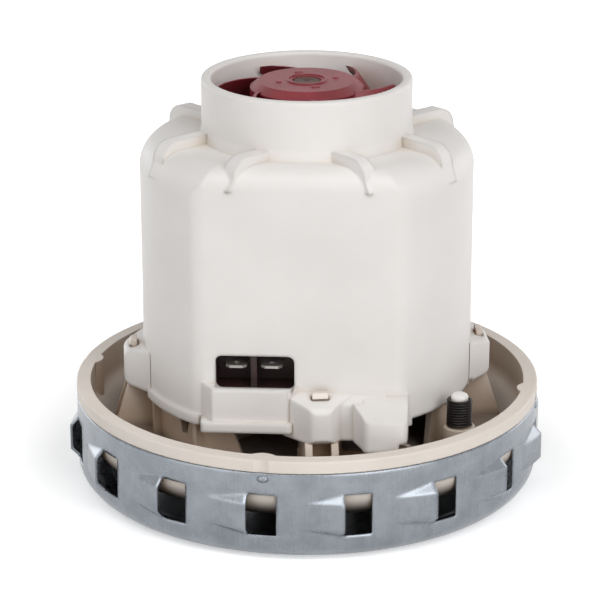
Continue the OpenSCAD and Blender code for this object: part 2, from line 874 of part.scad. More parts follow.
// Rails on both sides of each brush holder
module brush_rails() {
    for (a = brush_turns, side = [-1, 1]) intersection() {
        at_az(a) translate([side * (holder_w / 2 + rail_t / 2 + fit_gap), 0, 0]) radial_plate(rail_t)
            translate([tube_end - rail_len, brush_z - holder_h / 2]) square([barrel_r, holder_h]);
        raised(housing_z, deck_z - housing_z) circle(barrel_r - wall_t / 2);
    }
}

module upper_housing() {
    color(white_plastic) {
        difference() {
            union() {
                barrel_solid(0, housing_z);
                for (a = [45 : 90 : 315], side = [-1, 1]) at_az(a) translate([side * rib_off, 0, 0])
                    shoulder_rib(side * sin(2 * a) < 0);
                for (e = EARS) at_az(e[0]) ear_body(e);
                front_blocks();
            }
            barrel_solid(wall_t, front_foot - over);
            raised(deck_z - 2 * wall_t, 2 * wall_t + rib_h + over) circle(collar_in_r + over);
            front_plate(flat_y - wall_t - over, block_y - ear_wall)
                round_rect(window_x - window_w / 2, sill_z, window_x + window_w / 2, sill_z + window_h,
                    window_r);
            front_hollows();
            for (e = EARS) at_az(e[0]) ear_hollow(e);
            ring_sector(notch_from, notch_to, barrel_r - wall_t - over, barrel_r + over,
                housing_z - over, notch_top);
        }
        rotate_extrude() {
            round_rect(collar_in_r, deck_z - wall_t, collar_r, collar_top, collar_edge_r);
            polygon([
                [collar_r - over, deck_z - wall_t],
                [collar_r + collar_flare, deck_z - wall_t],
                [collar_r + collar_flare, deck_z],
                [collar_r, deck_z + rib_h + flare_over],
                [collar_r - over, deck_z + rib_h + flare_over]]);
        }
        difference() {
            stator_seats();
            for (a = screw_turns) at_az(a) translate([0, -screw_at_r, stack_z])
                cylinder(h = stack_h + screw_grip + over, r = screw_r + fit_gap);
        }
        bearing_spider();
        brush_rails();
    }
}

// Half section of the bowl, its trough and the rim, with an outer edge that hangs down round the impeller
module bowl_2d() {
    bowl_z = roof_z - apron_h + bowl_r;
    difference() {
        union() {
            translate([0, roof_z]) square([spigot_r - bowl_r, shroud_h - roof_z]);
            translate([0, bowl_z]) square([spigot_r, shroud_h - bowl_z + over]);
            translate([spigot_r - bowl_r, bowl_z]) circle(bowl_r);
            round_rect(rim_in_r - over, shroud_h, rim_r, rim_top, rim_edge_r);
        }
        translate([-over, roof_z - apron_h - over]) square([apron_in + over, apron_h + over]);
        translate([-over, floor_z]) square([rim_in_r - trough_r + over, rim_top]);
        translate([-over, floor_z + trough_r]) square([rim_in_r + over, rim_top]);
        translate([rim_in_r - trough_r, floor_z + trough_r]) circle(trough_r);
    }
}

// Wall that goes up inside the housing, with its air openings
module ring_wall() {
    difference() {
        raised(floor_z - over, ring_top - floor_z + over) difference() {
            barrel_2d(ring_inset);
            barrel_2d(ring_inset + ring_t);
        }
        for (v = VENTS, turn = [0, 180]) at_az(v[0] + turn) front_plate(0, rim_r) polygon([
            [v[1], v[5]], [v[2], v[5]], [v[4], ring_top + over], [v[3], ring_top + over]]);
    }
}

module lower_frame() {
    color(cream_plastic) difference() {
        union() {
            difference() {
                rotate_extrude() bowl_2d();
                for (k = [0 : lug_n - 1]) at_az(lug_turn + k * 360 / lug_n)
                    translate([0, -rim_r - lug_r + lug_cut, shroud_h])
                    cylinder(h = rim_h + over, r = lug_r);
            }
            ring_wall();
            for (a = RIDGES, turn = [0, 180]) at_az(a + turn) radial_plate(ridge_t)
                translate([barrel_r - ring_inset - ring_t / 2, floor_z - over])
                square([ring_t / 2 + ridge_out, housing_z - slot_gap - floor_z + over]);
            for (e = EARS) at_az(e[0]) snap_post(e);
            raised(roof_z, low_bearing_top - roof_z) circle(bearing_r + hub_t);
            raised(floor_z - over, web_h + over) intersection() {
                barrel_2d(ring_inset + ring_t / 2);
                for (k = [0 : web_n - 1]) rotate(k * 360 / web_n) translate([bearing_r + over, -web_t / 2])
                    square([barrel_r, web_t]);
            }
            at_az(spring_turn) translate([0, -spring_at_r, floor_z - over])
                cylinder(h = boss_h + over, r = boss_r);
            for (k = [0 : lug_n - 1]) at_az(lug_turn + k * 360 / lug_n) intersection() {
                translate([0, -rim_in_r - lug_r + lug_in, floor_z])
                    cylinder(h = rim_top - floor_z, r = lug_r);
                raised(floor_z, rim_top) circle(rim_r - lug_back);
            }
        }
        raised(roof_z - over, bearing_w + floor_t + 2 * over) circle(spacer_d / 2 + hub_gap);
        raised(low_bearing_z, bearing_w + over) circle(bearing_r + press_gap);
        at_az(spring_turn) translate([0, -spring_at_r, boss_top - pin_len - fit_gap])
            cylinder(h = pin_len + over, r = pin_r + press_gap);
    }
}

// Half section of the pressed pot, drawn in by the sheet's thickness
module pot_2d(t, top) {
    r = rim_r - t;
    c = corner_r - t;
    translate([0, t]) square([r - c, top - t]);
    translate([0, corner_r]) square([r, top - corner_r]);
    translate([r - c, corner_r]) circle(c);
}

// One pressed scoop: it leaves the wall and rises steadily to its open end
module scoop(t, past) {
    z0 = louvre_z + t;
    z1 = louvre_z + louvre_h - t;
    r = scoop_axis_r - t;
    foot = r - louvre_rise * (1 + scoop_root);
    low = z0 - louvre_slope * scoop_root;
    high = z1 + louvre_slope * scoop_root;
    translate([0, scoop_off, 0]) rotate([0, 0, scoop_start])
        rotate_extrude(angle = scoop_angle + past) polygon([
            [foot - louvre_rise, low],
            [foot, low],
            [r, z0 + louvre_slope],
            [r, z1 - louvre_slope],
            [foot, high],
            [foot - louvre_rise, high]]);
}

module fan_shroud() {
    lip_r = inlet_d / 2 + inlet_edge_r;
    color(zinc_steel) {
        difference() {
            union() {
                rotate_extrude() pot_2d(0, shroud_h);
                for (k = [0 : louvre_n - 1]) at_az(scoop_from + k * 360 / louvre_n - 90) scoop(0, 0);
            }
            rotate_extrude() pot_2d(sheet_t, shroud_h + over);
            for (k = [0 : louvre_n - 1]) {
                at_az(scoop_from + k * 360 / louvre_n - 90) scoop(sheet_t, 1);
                ring_sector(louvre_turn - gap_turn + k * 360 / louvre_n, louvre_turn + k * 360 / louvre_n,
                    rim_r - 2 * sheet_t, rim_r + louvre_rise + over, louvre_z + sheet_t / 2,
                    louvre_z + louvre_h - sheet_t / 2);
            }
            raised(-over, sheet_t + 2 * over) circle(lip_r);
        }
        rotate_extrude() {
            translate([lip_r, inlet_edge_r]) intersection() {
                washer_2d(inlet_edge_r, inlet_edge_r - sheet_t);
                translate([-lip_r, -lip_r]) square(lip_r);
            }
            translate([inlet_d / 2, inlet_edge_r]) square([sheet_t, inlet_lip_h - inlet_edge_r]);
        }
    }
}

module impeller_front_plate() {
    color(bare_steel) {
        sleeve(impeller_z, plate_t, impeller_r, eye_r);
        sleeve(impeller_z - neck_h, neck_h + plate_t, eye_r + plate_t, eye_r);
    }
}

module impeller_back_plate() {
    color(bare_steel) sleeve(back_plate_z, plate_t, impeller_r, shaft_r + press_gap);
}

module impeller_blades() {
    color(bare_steel) for (k = [0 : blade_n - 1]) rotate(k * 360 / blade_n) raised(blade_z, blade_h)
        intersection() {
            washer_2d(impeller_r - over, eye_r + plate_t + over);
            translate([blade_curve_r, 0]) washer_2d(blade_curve_r + plate_t, blade_curve_r);
            square(impeller_d);
        }
}

module impeller_washer() {
    color(bare_steel) sleeve(back_plate_z - washer_t, washer_t, washer_d / 2, shaft_r + press_gap);
}

module impeller_nut() {
    color(bare_steel) raised(nut_z, nut_h) difference() {
        circle(nut_af / 2 / cos(30), $fn = 6);
        circle(shaft_r + press_gap);
    }
}

module impeller_spacer() {
    z = back_plate_z + plate_t;
    color(bare_steel) sleeve(z, low_bearing_z - z, spacer_d / 2, shaft_r + press_gap);
}

// Wedge from the shaft to one side, by an angle either side of its middle
module wedge_2d(half) {
    polygon([[0, 0], [stator_d, -stator_d * tan(half)], [stator_d, stator_d * tan(half)]]);
}

module stator_core() {
    color(bare_steel) raised(stack_z, stack_h) difference() {
        intersection() {
            circle(stator_d / 2);
            square([stator_d + over, stator_flat], center = true);
        }
        circle(bore_r);
        for (turn = [0, 180]) rotate(turn) {
            intersection() {
                washer_2d(coil_out_r + slot_gap, coil_in_r - slot_gap);
                wedge_2d(slot_half);
            }
            intersection() {
                circle(coil_in_r);
                wedge_2d(tip_half);
            }
        }
        for (a = screw_turns) rotate(a - 90) translate([screw_at_r, 0]) circle(screw_r + slot_gap);
    }
}

// Coil round one pole: two sides in the slots and an arc over each end of the stack
module field_coil() {
    side_from = 90 - slot_half + coil_clear;
    difference() {
        ring_sector(coil_clear - 90, 90 - coil_clear, coil_in_r, coil_out_r, stack_z - coil_over,
            stack_top + coil_over);
        ring_sector(-side_from, side_from, coil_in_r - over, coil_out_r + over, stack_z - slot_gap,
            stack_top + slot_gap);
    }
}

module field_coil_front() {
    color(copper) field_coil();
}

module field_coil_back() {
    color(copper) at_az(180) field_coil();
}

module stator_screws() {
    color(bare_steel) for (a = screw_turns) at_az(a) translate([0, -screw_at_r, 0]) {
        translate([0, 0, stack_z - screw_head_h]) cylinder(h = screw_head_h, r = screw_head_r);
        translate([0, 0, stack_z - screw_head_h])
            cylinder(h = screw_head_h + stack_h + screw_grip, r = screw_r);
    }
}

module rotor_shaft() {
    color(bare_steel) rotate_extrude() polygon([
        [0, shaft_z],
        [shaft_r - shaft_edge, shaft_z],
        [shaft_r, shaft_z + shaft_edge],
        [shaft_r, shaft_top - shaft_edge],
        [shaft_r - shaft_edge, shaft_top],
        [0, shaft_top]]);
}

// Winding slot of the armature, drawn in by the gap
module slot_2d(gap) {
    round_rect(slot_in + gap, gap - slot_w / 2, slot_out - gap, slot_w / 2 - gap, slot_w / 4);
}

module armature_core() {
    color(bare_steel) raised(stack_z, stack_h) difference() {
        circle(armature_d / 2);
        circle(shaft_r + press_gap);
        for (k = [0 : slot_n - 1]) rotate(k * 360 / slot_n) {
            slot_2d(0);
            translate([slot_out - over, -slot_mouth / 2]) square([armature_d / 2, slot_mouth]);
        }
    }
}

module armature_winding() {
    color(copper) {
        rotate_extrude() round_rect(turns_in, low_turns_z, slot_out, stack_z - fit_gap, turns_edge_r);
        rotate_extrude() round_rect(turns_in, stack_top + fit_gap, slot_out, top_turns_top, turns_edge_r);
        for (k = [0 : slot_n - 1]) rotate(k * 360 / slot_n)
            raised(stack_z - over, stack_h + 2 * over) slot_2d(fit_gap);
    }
}

module commutator_bars() {
    color(copper) difference() {
        union() {
            sleeve(commutator_z, commutator_h, commutator_r, commutator_r - bar_t);
            sleeve(commutator_z + commutator_h - riser_h, riser_h, commutator_r + riser_out,
                commutator_r - bar_t);
        }
        for (k = [0 : bar_n - 1]) rotate(k * 360 / bar_n) translate([0, -bar_gap / 2, commutator_z - over])
            cube([commutator_d, bar_gap, commutator_h + 2 * over]);
    }
}

module commutator_hub() {
    color(dark_red) sleeve(commutator_z, commutator_h, commutator_r - bar_t - press_gap, shaft_r + press_gap);
}

// Groove that the balls of a bearing run in
module ball_groove(z) {
    translate([0, 0, z + bearing_w / 2]) rotate_extrude() translate([ball_pitch_r, 0])
        circle(ball_d / 2 + run_gap);
}

module inner_ring(z) {
    color(bare_steel) difference() {
        sleeve(z, bearing_w, shaft_r + ring_wall, shaft_r + press_gap);
        ball_groove(z);
    }
}

module outer_ring(z) {
    color(bare_steel) difference() {
        sleeve(z, bearing_w, bearing_r, bearing_r - ring_wall);
        ball_groove(z);
    }
}

module balls(z) {
    color(bare_steel) for (k = [0 : ball_n - 1]) rotate(k * 360 / ball_n)
        translate([ball_pitch_r, 0, z + bearing_w / 2]) sphere(ball_d / 2);
}

// Ring with a pocket round each ball
module cage(z) {
    color(cream_plastic) difference() {
        sleeve(z + (bearing_w - cage_h) / 2, cage_h, ball_pitch_r + cage_t / 2, ball_pitch_r - cage_t / 2);
        for (k = [0 : ball_n - 1]) rotate(k * 360 / ball_n)
            translate([ball_pitch_r, 0, z + bearing_w / 2]) sphere(ball_d / 2 + fit_gap);
    }
}

module upper_bearing_inner_ring() {
    inner_ring(top_bearing_z);
}

module upper_bearing_outer_ring() {
    outer_ring(top_bearing_z);
}

module upper_bearing_balls() {
    balls(top_bearing_z);
}

module upper_bearing_cage() {
    cage(top_bearing_z);
}

module lower_bearing_inner_ring() {
    inner_ring(low_bearing_z);
}

module lower_bearing_outer_ring() {
    outer_ring(low_bearing_z);
}

module lower_bearing_balls() {
    balls(low_bearing_z);
}

module lower_bearing_cage() {
    cage(low_bearing_z);
}

module upper_bearing_boot() {
    color(carbon) sleeve(top_bearing_z, bearing_w, boot_r, bearing_r + press_gap);
}

module lower_bearing_retainer() {
    color(bare_steel) sleeve(low_bearing_top, retainer_t, bearing_r + hub_t / 2, bearing_r - ring_wall);
}

// Block that goes outwards along the brush axis, centred on the brushes' level
module brush_block(r0, r1, w, h) {
    translate([-w / 2, -r1, brush_z - h / 2]) cube([w, r1 - r0, h]);
}

module brush_holder() {
    color(carbon) difference() {
        intersection() {
            brush_block(holder_in, barrel_r, holder_w, holder_h);
            raised(housing_z, deck_z - housing_z) circle(barrel_r - wall_t - fit_gap);
        }
        brush_block(holder_in - over, tube_end + fit_gap, tube_w + 2 * fit_gap, tube_h + 2 * fit_gap);
    }
}

module brush_tube() {
    color(brass) difference() {
        brush_block(tube_in, tube_end, tube_w, tube_h);
        brush_block(tube_in - over, tube_end - tube_t, tube_w - 2 * tube_t, tube_h - 2 * tube_t);
    }
}

module carbon_brush() {
    color(carbon) difference() {
        brush_block(commutator_r / 2, brush_out, brush_w, brush_h);
        raised(commutator_z, commutator_h) circle(brush_in);
    }
}

module brush_holder_left() {
    at_az(brush_turns[0]) brush_holder();
}

module brush_holder_right() {
    at_az(brush_turns[1]) brush_holder();
}

module brush_tube_left() {
    at_az(brush_turns[0]) brush_tube();
}

module brush_tube_right() {
    at_az(brush_turns[1]) brush_tube();
}

module carbon_brush_left() {
    at_az(brush_turns[0]) carbon_brush();
}

module carbon_brush_right() {
    at_az(brush_turns[1]) carbon_brush();
}

// Middle line of a coil spring that stands on z = 0, with a straight end at both sides
function coil_path(r, wire, h, turns) = concat(
    [[r, 0, 0]],
    [for (i = [0 : turns * coil_steps]) let (a = i * 360 / coil_steps, rise = (h - 2 * wire) / turns)
        [r * cos(a), r * sin(a), wire + rise * i / coil_steps]],
    [[r, 0, h]]);

// Corners of the wire round one point of that line
function coil_ring(path, i, wire) =
    let (n = len(path) - 1)
    let (step = path[min(i + 1, n)] - path[max(i - 1, 0)])
    let (t = i == 0 || i == n ? [0, 0, 1] : step / norm(step))
    let (out = [path[i][0], path[i][1], 0] / norm([path[i][0], path[i][1]]))
    let (side = out - t * (out * t))
    let (e = side / norm(side))
    let (b = cross(t, e))
    [for (k = [0 : coil_sides - 1]) path[i]
        + wire / 2 * (e * cos(k * 360 / coil_sides) + b * sin(k * 360 / coil_sides))];

// Least gap between parts of the wire that are more than half a turn from each other
function coil_gap(path, wire) = min([for (i = [0 : len(path) - 1], j = [i + 1 : 1 : len(path) - 1])
    if (j - i > coil_steps / 2) norm(path[i] - path[j])]) - wire;

// One unbroken tube along that line
module coil_spring(r, wire, h, turns) {
    path = coil_path(r, wire, h, turns);
    n = len(path);
    points = [for (i = [0 : n - 1]) each coil_ring(path, i, wire)];
    sides = [for (i = [0 : n - 2], k = [0 : coil_sides - 1])
        let (a = i * coil_sides + k, b = i * coil_sides + (k + 1) % coil_sides)
        each [[a, a + coil_sides, b], [b, a + coil_sides, b + coil_sides]]];
    foot = [for (k = [1 : coil_sides - 2]) [0, k, k + 1]];
    last = (n - 1) * coil_sides;
    head = [for (k = [1 : coil_sides - 2]) [last, last + k + 1, last + k]];
    echo(least_gap = coil_gap(path, wire));
    polyhedron(points, concat(sides, foot, head));
}

module contact_spring() {
    color(carbon) at_az(spring_turn) translate([0, -spring_at_r, boss_top])
        coil_spring((spring_d - spring_wire) / 2, spring_wire, spring_h, spring_turns);
}

// Spring between a brush and the end of its tube
module brush_spring() {
    color(bare_steel) translate([0, -brush_out - fit_gap, brush_z]) rotate([90, 0, 0])
        coil_spring((brush_spring_d - brush_spring_wire) / 2, brush_spring_wire,
            tube_end - tube_t - brush_out - 2 * fit_gap, brush_spring_turns);
}

module brush_spring_left() {
    at_az(brush_turns[0]) brush_spring();
}

module brush_spring_right() {
    at_az(brush_turns[1]) brush_spring();
}

module spring_peg() {
    top = boss_top + spring_h + peg_over;
    color(white_plastic) at_az(spring_turn) translate([0, -spring_at_r, 0]) rotate_extrude() {
        translate([0, boss_top - pin_len]) square([pin_r, pin_len + over]);
        shoulder_2d(peg_r, boss_top, top, peg_r / 2);
    }
}

// Tab along its own length, with a chamfered tip and the catch hole
module terminal_tab(x) {
    color(bare_steel) translate([0, 0, tab_z - tab_t / 2]) linear_extrude(tab_t) difference() {
        polygon([
            [x - tab_w / 2, -carrier_y + tab_tail],
            [x - tab_w / 2, -tab_tip_y + tab_edge],
            [x - tab_w / 2 + tab_edge, -tab_tip_y],
            [x + tab_w / 2 - tab_edge, -tab_tip_y],
            [x + tab_w / 2, -tab_tip_y + tab_edge],
            [x + tab_w / 2, -carrier_y + tab_tail]]);
        translate([x, tab_hole_at - tab_tip_y]) circle(tab_hole_r);
    }
}

module terminal_tab_left() {
    terminal_tab(tab_x - tab_pitch / 2);
}

module terminal_tab_right() {
    terminal_tab(tab_x + tab_pitch / 2);
}

module terminal_carrier() {
    x0 = window_x - window_w / 2 - carrier_t;
    x1 = window_x + window_w / 2 + carrier_t;
    front = fit_gap + wall_t - flat_y;
    color(dark_red) difference() {
        union() {
            translate([x0, front, sill_z - carrier_t])
                cube([x1 - x0, -carrier_y - front + carrier_t, carrier_t]);
            translate([x0, -carrier_y, sill_z - carrier_t])
                cube([x1 - x0, carrier_t, window_h + 2 * carrier_t]);
            for (x = [x0, tab_x - carrier_t / 2, x1 - carrier_t]) translate([x, front, sill_z - carrier_t])
                cube([carrier_t, -carrier_y - front + carrier_t, window_h + 2 * carrier_t]);
        }
        for (x = [tab_x - tab_pitch / 2, tab_x + tab_pitch / 2])
            translate([x - tab_w / 2 - fit_gap, -carrier_y - over, tab_z - tab_t / 2 - fit_gap])
            cube([tab_w + 2 * fit_gap, carrier_t + 2 * over, tab_t + 2 * fit_gap]);
    }
}

// Points of one side of a blade, from its root to its tip
function blade_side(side) = [for (i = [0 : blade_steps]) let (
    r = fan_root_r + (fan_tip_r - fan_root_r) * i / blade_steps,
    a = fan_sweep * pow(i / blade_steps, 1.3) + side * fan_blade_t / r * 90 / PI)
    [r * cos(a), r * sin(a)]];

module cooling_fan() {
    back = blade_side(-1);
    color(red_plastic) {
        difference() {
            rotate_extrude() polygon([
                [0, fan_z],
                [fan_hub_r, fan_z],
                [fan_hub_r, fan_top - fan_edge_h],
                [fan_top_d / 2, fan_top],
                [0, fan_top]]);
            raised(fan_z - over, fan_h - fan_top_t + over) washer_2d(fan_hub_r - fan_wall, fan_sleeve_r);
            raised(fan_z - over, fan_h + 2 * over) circle(shaft_r + press_gap);
            raised(shaft_top + fit_gap, fan_h) circle(fan_recess_d / 2);
        }
        sleeve(fan_top - over, over + emboss_h, emboss_r, emboss_r - emboss_t);
        for (k = [0 : fan_blade_n - 1]) rotate(fan_turn - 90 - fan_sweep - fan_twist + k * 360 / fan_blade_n)
            translate([0, 0, fan_z])
            linear_extrude(fan_h - fan_drop, twist = -fan_twist, slices = blade_steps,
                segments = 2 * blade_steps + 2)
            polygon(concat(blade_side(1), [for (i = [0 : blade_steps]) back[blade_steps - i]]));
    }
}

upper_housing();
lower_frame();
fan_shroud();
stator_core();
field_coil_front();
field_coil_back();
stator_screws();
upper_bearing_boot();
upper_bearing_outer_ring();
lower_bearing_outer_ring();
lower_bearing_retainer();
brush_holder_left();
brush_holder_right();
brush_tube_left();
brush_tube_right();
terminal_carrier();
terminal_tab_left();
terminal_tab_right();
contact_spring();
spring_peg();
rotor_shaft();
armature_core();
armature_winding();
commutator_bars();
commutator_hub();
cooling_fan();
upper_bearing_inner_ring();
lower_bearing_inner_ring();
impeller_back_plate();
impeller_blades();
impeller_front_plate();
impeller_spacer();
impeller_washer();
impeller_nut();
carbon_brush_left();
carbon_brush_right();
brush_spring_left();
brush_spring_right();
upper_bearing_balls();
upper_bearing_cage();
lower_bearing_balls();
lower_bearing_cage();
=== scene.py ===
"""Vacuum motor unit: the finishes of its pieces, details that the solids leave out, and a white studio."""
import json
import math

import bmesh
import bpy
from mathutils import Matrix, Vector


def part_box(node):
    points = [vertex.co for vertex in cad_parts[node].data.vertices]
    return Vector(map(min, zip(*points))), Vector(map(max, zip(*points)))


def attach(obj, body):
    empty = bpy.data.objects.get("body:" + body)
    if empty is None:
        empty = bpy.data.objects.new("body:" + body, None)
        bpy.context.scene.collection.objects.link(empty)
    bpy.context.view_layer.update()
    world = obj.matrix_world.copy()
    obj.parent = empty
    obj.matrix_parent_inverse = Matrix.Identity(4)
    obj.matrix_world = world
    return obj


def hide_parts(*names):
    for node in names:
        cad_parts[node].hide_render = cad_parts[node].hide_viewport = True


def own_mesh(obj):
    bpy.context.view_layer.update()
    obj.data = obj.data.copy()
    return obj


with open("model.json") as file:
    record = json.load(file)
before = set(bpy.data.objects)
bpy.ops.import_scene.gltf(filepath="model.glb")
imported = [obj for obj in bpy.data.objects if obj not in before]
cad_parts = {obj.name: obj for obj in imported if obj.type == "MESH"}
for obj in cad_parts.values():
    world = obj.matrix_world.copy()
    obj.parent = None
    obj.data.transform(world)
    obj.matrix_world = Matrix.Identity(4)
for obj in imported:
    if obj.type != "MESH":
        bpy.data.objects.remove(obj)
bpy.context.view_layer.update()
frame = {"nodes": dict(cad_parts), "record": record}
nodes = frame["nodes"]
MM = 0.001
# Points closer than this are merged
MERGE = 0.002 * MM
# A wave texture of scale 1 repeats at this distance
WAVE = math.pi / 10
# Colour of the painted shade that darkens the cream frame towards the bottom, under the trough
SHADE_BELOW = "221a16"


def linear(code):
    """An sRGB hex colour as linear RGBA."""
    parts = [int(code[i:i + 2], 16) / 255 for i in (0, 2, 4)]
    return tuple(c / 12.92 if c <= 0.04045 else ((c + 0.055) / 1.055) ** 2.4 for c in parts) + (1.0,)


def add(tree, kind, inputs=None, stops=(), **settings):
    """Adds a node with its settings. An input is a value, or the socket that feeds it. The stops of a colour
    ramp are pairs of a position and a hex colour."""
    node = tree.nodes.new(kind)
    for name, value in settings.items():
        setattr(node, name, value)
    for name, value in (inputs or {}).items():
        if isinstance(value, bpy.types.NodeSocket):
            tree.links.new(value, node.inputs[name])
        else:
            node.inputs[name].default_value = value
    for k, (position, code) in enumerate(stops):
        node.color_ramp.elements[k].position = position
        node.color_ramp.elements[k].color = linear(code)
    return node


def new_material(name):
    """An empty material, its node tree, and the place on the piece that its patterns follow."""
    material = bpy.data.materials.new(name)
    material.use_nodes = True
    tree = material.node_tree
    tree.nodes.clear()
    place = add(tree, "ShaderNodeTexCoord").outputs["Object"]
    return material, tree, place


def moulded(name, low, high, rough, cloud_mm, grain_mm, round_mm, corner_shade=None, corner_shade_mm=0, shade_below_mm=None):
    """Moulded plastic: one colour that drifts a little over the part, spark-eroded grain, soft edges, painted
    shade that darkens corners narrower than the given width, and painted shade that darkens it towards the
    bottom, fading out between the two given heights."""
    material, tree, place = new_material(name)
    cloud = add(tree, "ShaderNodeTexNoise", {"Vector": place, "Scale": 1 / (cloud_mm * MM), "Detail": 3.0,
                                             "Roughness": 0.5})
    grain = add(tree, "ShaderNodeTexNoise", {"Vector": place, "Scale": 1 / (grain_mm * MM), "Detail": 2.0})
    edge = add(tree, "ShaderNodeBevel", {"Radius": round_mm * MM}, samples=6)
    relief = add(tree, "ShaderNodeBump", {"Height": grain.outputs["Fac"], "Strength": 0.12,
                                          "Distance": grain_mm * MM * 0.2, "Normal": edge.outputs["Normal"]})
    tone = add(tree, "ShaderNodeValToRGB", {"Fac": cloud.outputs["Fac"]},
               ((0.3, low), (0.7, high))).outputs["Color"]
    # Painted shade: the colour darkens towards a brown in the corners that the ambient occlusion finds
    if corner_shade:
        corner = add(tree, "ShaderNodeAmbientOcclusion", {"Distance": corner_shade_mm * MM}, samples=8)
        unshaded = add(tree, "ShaderNodeMapRange", {"Value": corner.outputs["AO"], "From Min": 0.05,
                                                 "From Max": 0.75})
        tone = add(tree, "ShaderNodeMix", {0: unshaded.outputs["Result"], 6: linear(corner_shade), 7: tone},
                   data_type="RGBA").outputs[2]
    # Painted shade: the colour darkens towards the bottom of the part, fully below the lower of the two
    # heights
    if shade_below_mm:
        level = add(tree, "ShaderNodeSeparateXYZ", {"Vector": place})
        clear = add(tree, "ShaderNodeMapRange", {"Value": level.outputs["Z"], "From Min": shade_below_mm[0] * MM,
                                                 "From Max": shade_below_mm[1] * MM},
                    interpolation_type="SMOOTHSTEP")
        tone = add(tree, "ShaderNodeMix", {0: clear.outputs["Result"], 6: linear(SHADE_BELOW), 7: tone},
                   data_type="RGBA").outputs[2]
    gloss = add(tree, "ShaderNodeMapRange", {"Value": grain.outputs["Fac"], "From Min": 0.3, "From Max": 0.7,
                                             "To Min": rough - 0.05, "To Max": rough + 0.05})
    shader = add(tree, "ShaderNodeBsdfPrincipled", {
        "Base Color": tone,
        "Roughness": gloss.outputs["Result"],
        "IOR": 1.5,
        "Normal": relief.outputs["Normal"]})
    add(tree, "ShaderNodeOutputMaterial", {"Surface": shader.outputs["BSDF"]})
    return material


def metal(name, low, high, rough, patch_mm, scratch_mm, metallic=1.0, stretch=(1, 1, 1)):
    """Bare or plated metal: a clouded tone, and fine lines or grains that break up its gloss."""
    material, tree, place = new_material(name)
    lines = add(tree, "ShaderNodeMapping", {"Vector": place, "Scale": stretch})
    patch = add(tree, "ShaderNodeTexNoise", {"Vector": place, "Scale": 1 / (patch_mm * MM), "Detail": 4.0,
                                             "Roughness": 0.6})
    scratch = add(tree, "ShaderNodeTexNoise", {"Vector": lines.outputs["Vector"],
                                               "Scale": 1 / (scratch_mm * MM), "Detail": 3.0})
    relief = add(tree, "ShaderNodeBump", {"Height": scratch.outputs["Fac"], "Strength": 0.08,
                                          "Distance": scratch_mm * MM * 0.1})
    tone = add(tree, "ShaderNodeValToRGB", {"Fac": patch.outputs["Fac"]}, ((0.3, low), (0.7, high)))
    gloss = add(tree, "ShaderNodeMapRange", {"Value": scratch.outputs["Fac"], "From Min": 0.3,
                                             "From Max": 0.7, "To Min": rough - 0.06, "To Max": rough + 0.06})
    shader = add(tree, "ShaderNodeBsdfPrincipled", {
        "Base Color": tone.outputs["Color"],
        "Roughness": gloss.outputs["Result"],
        "Metallic": metallic,
        "Normal": relief.outputs["Normal"]})
    add(tree, "ShaderNodeOutputMaterial", {"Surface": shader.outputs["BSDF"]})
    return material


def drawn_zinc():
    """Zinc-plated sheet steel, deep drawn and pressed: blue-grey, clouded plating, faint lines up the wall,
    and folds that the press leaves round."""
    material, tree, place = new_material("zinc_plated_steel_drawn")
    wall_mm = 72
    line_apart_mm = 0.6
    line_long_mm = 12
    cloud_mm = 9
    grain_mm = 1.1
    fold_mm = 1.6
    axes = add(tree, "ShaderNodeSeparateXYZ", {"Vector": place})
    turn = add(tree, "ShaderNodeMath", {0: axes.outputs["Y"], 1: axes.outputs["X"]}, operation="ARCTAN2")
    round_wall = add(tree, "ShaderNodeMath", {0: turn.outputs["Value"], 1: wall_mm / line_apart_mm},
                     operation="MULTIPLY")
    up_wall = add(tree, "ShaderNodeMath", {0: axes.outputs["Z"], 1: 1 / (line_long_mm * MM)},
                  operation="MULTIPLY")
    wall = add(tree, "ShaderNodeCombineXYZ", {"X": round_wall.outputs["Value"],
                                              "Y": up_wall.outputs["Value"]})
    lines = add(tree, "ShaderNodeTexNoise", {"Vector": wall.outputs["Vector"], "Scale": 1.0, "Detail": 2.0})
    cloud = add(tree, "ShaderNodeTexNoise", {"Vector": place, "Scale": 1 / (cloud_mm * MM), "Detail": 5.0,
                                             "Roughness": 0.62})
    grain = add(tree, "ShaderNodeTexNoise", {"Vector": place, "Scale": 1 / (grain_mm * MM), "Detail": 3.0})
    both = add(tree, "ShaderNodeMix", {0: 0.18, 2: cloud.outputs["Fac"], 3: lines.outputs["Fac"]})
    edge = add(tree, "ShaderNodeBevel", {"Radius": fold_mm * MM}, samples=8)
    relief = add(tree, "ShaderNodeBump", {"Height": grain.outputs["Fac"], "Strength": 0.06,
                                          "Distance": 0.12 * MM, "Normal": edge.outputs["Normal"]})
    tone = add(tree, "ShaderNodeValToRGB", {"Fac": both.outputs[0]}, ((0.25, "757a80"), (0.75, "94999f")))
    gloss = add(tree, "ShaderNodeMapRange", {"Value": both.outputs[0], "From Min": 0.3, "From Max": 0.7,
                                             "To Min": 0.22, "To Max": 0.33})
    shader = add(tree, "ShaderNodeBsdfPrincipled", {
        "Base Color": tone.outputs["Color"],
        "Roughness": gloss.outputs["Result"],
        "Metallic": 0.9,
        "Normal": relief.outputs["Normal"]})
    add(tree, "ShaderNodeOutputMaterial", {"Surface": shader.outputs["BSDF"]})
    return material


